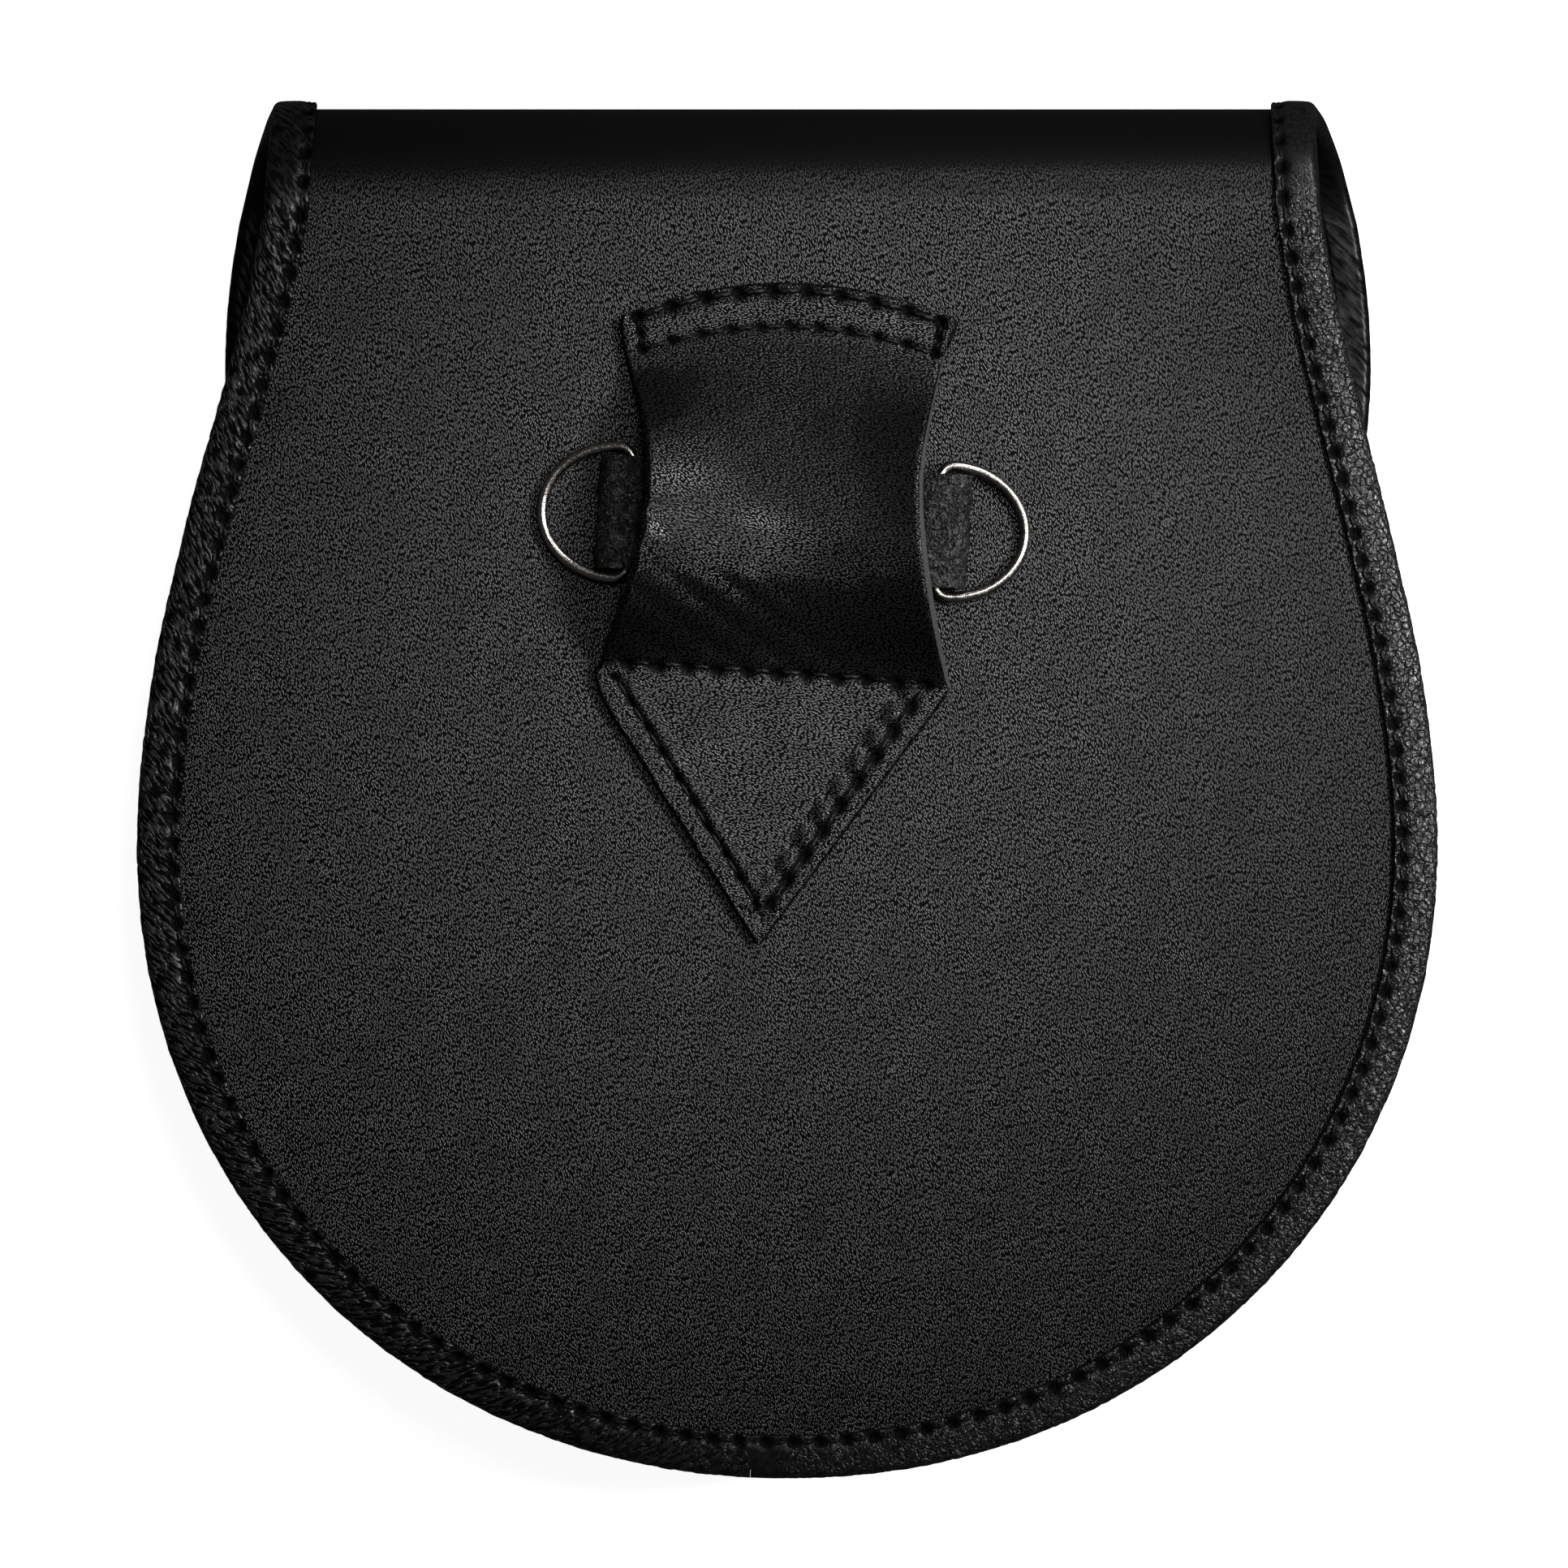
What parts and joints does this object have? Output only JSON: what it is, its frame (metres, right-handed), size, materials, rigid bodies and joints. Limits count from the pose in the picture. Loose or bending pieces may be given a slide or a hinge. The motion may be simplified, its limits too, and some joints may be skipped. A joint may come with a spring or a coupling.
{
  "type": "sporran pouch",
  "caption": "Leather sporran pouch lying on its front: bound back that folds over into the flap, belt loop with a pointed end, and a steel D ring at each side.",
  "frame": {"origin": "on the surface that the pouch lies on, under the middle of its box", "axes": "+X across the pouch to the right as seen from its back, +Y towards the top fold, +Z out of the back, up"},
  "size_m": [0.2084, 0.2221, 0.0533],
  "materials": {
    "grained_leather": "black, fine embossed grain, half matt",
    "loop_leather": "black, fine embossed grain, grey raw cut edge",
    "binding_leather": "black, soft creased grain with a slight gloss",
    "strap_leather": "black, deeply wrinkled, matt",
    "ring_steel": "dark nickel plate, bright, lightly scuffed",
    "stud_steel": "plain nickel plate"
  },
  "bodies": {
    "pouch": {"back_and_flap": "grained_leather", "edge_binding": "binding_leather", "gusset": "binding_leather", "front_panel": "grained_leather", "belt_loop": "loop_leather", "ring_strap": "strap_leather", "flap_stud": "stud_steel"},
    "ring_left": {"ring_left": "ring_steel"},
    "ring_right": {"ring_right": "ring_steel"}
  },
  "joints": [
    {"name": "ring_left_swivel", "type": "hinge", "parent": "pouch", "child": "ring_left", "pos_m": [-0.02501, 0.04337, 0.0389], "axis": [0.0581, 0.9983, 0], "range_deg": [0, 90]},
    {"name": "ring_right_swivel", "type": "hinge", "parent": "pouch", "child": "ring_right", "pos_m": [0.02391, 0.04053, 0.0389], "axis": [-0.0581, -0.9983, 0], "range_deg": [0, 90]}
  ]
}
